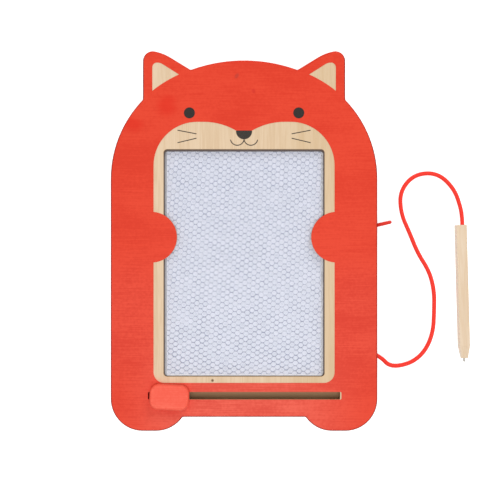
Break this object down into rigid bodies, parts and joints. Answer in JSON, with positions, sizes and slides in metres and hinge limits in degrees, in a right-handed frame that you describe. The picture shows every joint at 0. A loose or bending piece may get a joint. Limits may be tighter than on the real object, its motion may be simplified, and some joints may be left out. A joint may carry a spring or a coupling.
{
  "type": "magnetic drawing board",
  "caption": "Wooden child's drawing board shaped like an animal's face, with a magnetic screen, a sliding eraser knob and a pen on a cord.",
  "frame": {"origin": "middle of the back face's width and length, on the back face, the board lying on its back", "axes": "+X to the right side with the pen, +Y to the ears, +Z out of the face"},
  "size_m": [0.3381, 0.356, 0.0236],
  "materials": {
    "face_wood": "light plywood, sanded",
    "inner_wood": "light plywood, cut edges",
    "back_wood": "light plywood, bare",
    "pen_wood": "light wood, sanded",
    "red_paint": "satin paint on wood",
    "red_knob": "satin paint on wood",
    "black_print": "matt ink",
    "dark_tape": "foam tape",
    "clear_sheet": "clear sheet",
    "screen_cells": "milky film",
    "grey_seal": "sealed edge",
    "screen_backing": "white film",
    "grey_plastic": "moulded",
    "white_plastic": "low-friction pads",
    "magnet_strip": "flexible magnet",
    "felt": "felt",
    "screw_steel": "zinc-plated",
    "loop_elastic": "woven elastic",
    "ferrule_metal": "crimped",
    "red_cord": "woven cord",
    "tip_steel": "turned",
    "magnet_steel": "nickel-plated"
  },
  "bodies": {
    "board": {"back_panel": "back_wood", "core_frame": "inner_wood", "screen_frame": "inner_wood", "front_panel": "face_wood", "red_paint": "red_paint", "eye_print": "black_print", "muzzle_print": "black_print", "screen_tape": "dark_tape", "screen_front_sheet": "clear_sheet", "screen_honeycomb": "screen_cells", "screen_rim": "grey_seal", "screen_back_sheet": "screen_backing", "back_screws": "screw_steel", "pen_loop": "loop_elastic", "loop_ferrule": "ferrule_metal", "cord_board_end": "red_cord", "pen_cord": "red_cord"},
    "eraser": {"eraser_knob": "red_knob", "eraser_carriage": "grey_plastic", "eraser_magnet": "magnet_strip", "eraser_felt": "felt", "eraser_glide_pads": "white_plastic", "eraser_screws": "screw_steel"},
    "pen": {"pen_body": "pen_wood", "pen_tip": "tip_steel", "pen_magnet": "magnet_steel", "cord_pen_end": "red_cord"}
  },
  "joints": [
    {"name": "eraser_slide", "type": "slide", "parent": "board", "child": "eraser", "axis": [1, 0, 0], "range_m": [-0.0023, 0.1417]},
    {"name": "pen_lift", "type": "slide", "parent": "board", "child": "pen", "axis": [0, 0, 1], "range_m": [0, 0.06]}
  ]
}
